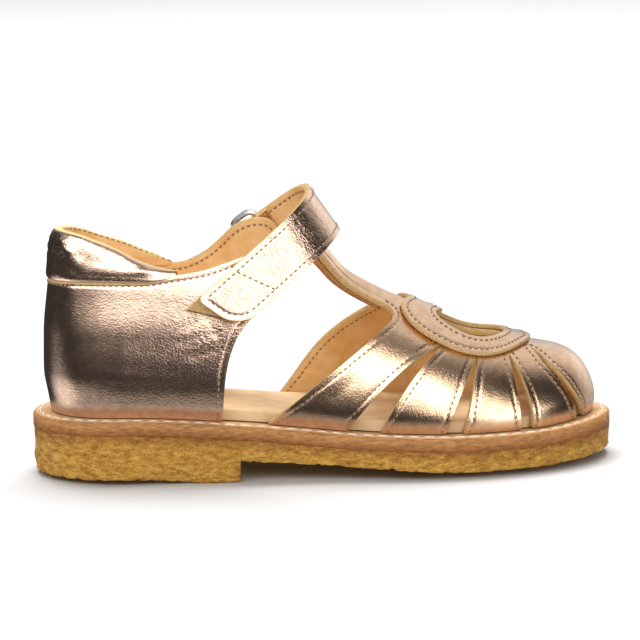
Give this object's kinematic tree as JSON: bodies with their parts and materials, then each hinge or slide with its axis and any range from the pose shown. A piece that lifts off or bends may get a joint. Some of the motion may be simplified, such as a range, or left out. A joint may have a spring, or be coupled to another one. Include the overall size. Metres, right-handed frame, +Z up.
{
  "type": "closed-toe sandal",
  "caption": "Child's closed-toe T-bar sandal for the right foot, with a slotted vamp, heart cut-out, padded heel collar, hook-and-loop ankle strap and crepe sole.",
  "frame": {"origin": "on the floor, under the middle of the sole's length and width", "axes": "+X towards the toe, +Y towards the inner side of the foot, +Z up"},
  "size_m": [0.168, 0.066, 0.0809],
  "materials": {
    "heel_crepe": "matt crepe rubber",
    "sole_crepe": "matt crepe rubber",
    "midsole_leather": "natural tan, stitched",
    "insole_leather": "natural tan, smooth",
    "vamp_leather": "metallic rose gold",
    "overlay_leather": "metallic rose gold",
    "quarter_leather": "metallic rose gold",
    "collar_leather": "metallic rose gold, padded",
    "strap_leather": "metallic rose gold",
    "patch_fabric": "looped pile",
    "ring_steel": "bright plated wire",
    "tab_leather": "metallic rose gold"
  },
  "bodies": {
    "root": {"heel_lift": "heel_crepe", "outsole": "sole_crepe", "midsole": "midsole_leather", "insole": "insole_leather", "vamp": "vamp_leather", "heart_overlay": "overlay_leather", "quarter": "quarter_leather", "collar": "collar_leather", "ankle_strap": "strap_leather", "strap_patch": "patch_fabric", "strap_ring": "ring_steel", "ring_tab": "tab_leather"}
  },
  "joints": []
}
